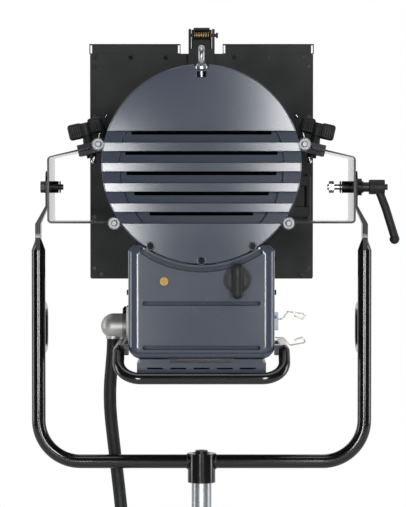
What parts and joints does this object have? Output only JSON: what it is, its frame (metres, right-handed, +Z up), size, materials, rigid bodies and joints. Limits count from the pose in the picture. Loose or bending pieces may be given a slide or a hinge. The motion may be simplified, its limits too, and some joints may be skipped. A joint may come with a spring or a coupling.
{
  "type": "fresnel spotlight",
  "caption": "Studio fresnel spotlight in a tubular yoke, with louvred rear cover, focus knob, sliding balance rods, lens door, barn doors and hanging head lead.",
  "frame": {"origin": "root of the yoke's spigot, where its shoulder meets the boss, on the spigot's axis", "axes": "+Z up along the spigot, +Y the way the light shines, +X to the right of a person behind the lamp"},
  "size_m": [0.5302, 0.491, 1.009],
  "materials": {
    "gloss_black_tube": "gloss powder coat",
    "chromed_steel": "bright zinc",
    "dark_steel": "black oxide",
    "bracket_aluminium": "satin anodised",
    "black_anodised": "black anodised",
    "black_plastic": "fine moulded grain",
    "blue_grey_paint": "satin lacquer",
    "plain_aluminium": "plain",
    "satin_silver": "satin nickel",
    "brass": "plain",
    "spring_steel": "plain spring wire",
    "silver_wire": "bright",
    "white_tag": "plain",
    "ceramic": "ceramic",
    "clear_glass": "clear",
    "black_sheet": "matt black",
    "black_rubber": "matt rubber"
  },
  "bodies": {
    "yoke": {"yoke_tube": "gloss_black_tube", "spigot_boss": "gloss_black_tube", "spigot": "chromed_steel", "spigot_bolt": "dark_steel", "grip_loops": "gloss_black_tube"},
    "tilt_frame": {"side_bracket_left": "bracket_aluminium", "side_bracket_right": "bracket_aluminium", "rod_clamps": "black_anodised", "pivot_stud": "chromed_steel", "pivot_spacers": "black_anodised", "pivot_bolt_left": "dark_steel"},
    "tilt_lever": {"lever_insert": "dark_steel"},
    "lever_grip": {"lever_handle": "black_plastic"},
    "knob_left": {"wing_knob_left": "black_plastic"},
    "knob_right": {"wing_knob_right": "black_plastic"},
    "head": {"rear_cover": "blue_grey_paint", "drum_shell": "blue_grey_paint", "rear_ring": "blue_grey_paint", "front_ring": "blue_grey_paint", "light_trap": "black_sheet", "slide_rods": "chromed_steel", "lower_box": "blue_grey_paint", "box_front_panel": "plain_aluminium", "earth_stud": "brass", "base_tray": "blue_grey_paint", "rear_handle": "gloss_black_tube", "handle_brackets": "blue_grey_paint", "head_screws": "dark_steel", "eyebolt": "chromed_steel", "guide_rods": "dark_steel", "ignitor_box": "plain_aluminium", "dome_connector": "satin_silver", "connector_flange": "plain_aluminium", "wire_hooks": "spring_steel", "hook_tag": "white_tag"},
    "focus": {"focus_knob": "black_plastic", "lead_screw": "dark_steel"},
    "lamp_carriage": {"carriage_block": "plain_aluminium", "lamp_socket": "ceramic", "lamp": "clear_glass", "reflector": "plain_aluminium"},
    "cable_tail": {"head_cable": "black_rubber", "coupler_shell": "black_anodised", "coupler_ring": "black_anodised"},
    "lens_door": {"lens_door": "black_sheet", "fresnel_lens": "clear_glass", "lens_retainer": "spring_steel", "latch_bracket": "black_sheet", "latch_spring": "spring_steel"},
    "top_latch": {"top_latch": "black_sheet"},
    "door_catch": {"door_catch": "black_sheet"},
    "side_retainer_left": {"retainer_left": "silver_wire"},
    "side_retainer_right": {"retainer_right": "silver_wire"},
    "barndoor": {"barndoor_ring": "black_sheet", "barndoor_plate": "black_sheet", "barndoor_pins": "dark_steel"},
    "door_leaf_left": {"leaf_left": "black_sheet"},
    "door_leaf_right": {"leaf_right": "black_sheet"},
    "door_leaf_top": {"leaf_top": "black_sheet"},
    "door_leaf_bottom": {"leaf_bottom": "black_sheet"}
  },
  "joints": [
    {"name": "head_tilt", "type": "hinge", "parent": "yoke", "child": "tilt_frame", "pos_m": [0, 0, 0.426], "axis": [1, 0, 0], "range_deg": [-65, 60]},
    {"name": "balance_slide", "type": "slide", "parent": "tilt_frame", "child": "head", "axis": [0, 1, 0], "range_m": [-0.03, 0.03]},
    {"name": "tilt_lever_turn", "type": "hinge", "parent": "tilt_frame", "child": "tilt_lever", "pos_m": [0.245, 0, 0.426], "axis": [1, 0, 0], "range_deg": [-30, 120]},
    {"name": "tilt_lever_lift", "type": "slide", "parent": "tilt_lever", "child": "lever_grip", "axis": [1, 0, 0], "range_m": [0, 0.005], "stiffness_N_per_m": 1500, "springref_m": -0.002},
    {"name": "wing_knob_left_turn", "type": "hinge", "parent": "tilt_frame", "child": "knob_left", "pos_m": [-0.1605, 0, 0.48102], "axis": [-0.2164, 0, 0.9763], "range_deg": [0, 450]},
    {"name": "wing_knob_right_turn", "type": "hinge", "parent": "tilt_frame", "child": "knob_right", "pos_m": [0.1605, 0, 0.48102], "axis": [0.2164, 0, 0.9763], "range_deg": [0, 450]},
    {"name": "focus_turn", "type": "hinge", "parent": "head", "child": "focus", "pos_m": [0.0493, 0, 0.299], "axis": [0, -1, 0], "range_deg": [-900, 900]},
    {"name": "lamp_travel", "type": "slide", "parent": "head", "child": "lamp_carriage", "axis": [0, 1, 0], "range_m": [-0.0401, 0.0401]},
    {"name": "cable_hang", "type": "hinge", "parent": "head", "child": "cable_tail", "pos_m": [-0.1285, 0.035, 0.206], "axis": [1, 0, 0], "range_deg": [-61, 66], "deforming": ["head_cable"]},
    {"name": "lens_door_swing", "type": "hinge", "parent": "head", "child": "lens_door", "pos_m": [0.158, 0.12, 0.412], "axis": [0, 0, 1], "range_deg": [-90, 0]},
    {"name": "top_latch_lift", "type": "hinge", "parent": "lens_door", "child": "top_latch", "pos_m": [0, 0.126, 0.652], "axis": [1, 0, 0], "range_deg": [0, 70], "stiffness_Nm_per_rad": 0.12, "springref_deg": -28.65},
    {"name": "door_catch_turn", "type": "hinge", "parent": "head", "child": "door_catch", "pos_m": [-0.0785, 0.128, 0.32103], "axis": [0, -1, 0], "range_deg": [0, 115]},
    {"name": "retainer_left_turn", "type": "hinge", "parent": "lens_door", "child": "side_retainer_left", "pos_m": [-0.147, 0.124, 0.525], "axis": [0, 1, 0], "range_deg": [0, 60]},
    {"name": "retainer_right_turn", "type": "hinge", "parent": "lens_door", "child": "side_retainer_right", "pos_m": [0.147, 0.124, 0.525], "axis": [0, -1, 0], "range_deg": [0, 60]},
    {"name": "barndoor_turn", "type": "hinge", "parent": "lens_door", "child": "barndoor", "pos_m": [0, 0.132, 0.457], "axis": [0, -1, 0], "continuous": true},
    {"name": "leaf_left_fold", "type": "hinge", "parent": "barndoor", "child": "door_leaf_left", "pos_m": [-0.163, 0.146, 0.457], "axis": [0, 0, 1], "range_deg": [-90, 60]},
    {"name": "leaf_right_fold", "type": "hinge", "parent": "barndoor", "child": "door_leaf_right", "pos_m": [0.163, 0.146, 0.457], "axis": [0, 0, -1], "range_deg": [-90, 60]},
    {"name": "leaf_top_fold", "type": "hinge", "parent": "barndoor", "child": "door_leaf_top", "pos_m": [0, 0.151, 0.6215], "axis": [1, 0, 0], "range_deg": [-90, 60]},
    {"name": "leaf_bottom_fold", "type": "hinge", "parent": "barndoor", "child": "door_leaf_bottom", "pos_m": [0, 0.151, 0.2925], "axis": [-1, 0, 0], "range_deg": [-90, 60]}
  ],
  "couplings": [
    {"joint": "lamp_travel", "follows": "focus_turn", "m_per_rad": 0.0025465},
    {"joint": "cable_hang", "follows": "head_tilt", "ratio": -1}
  ]
}
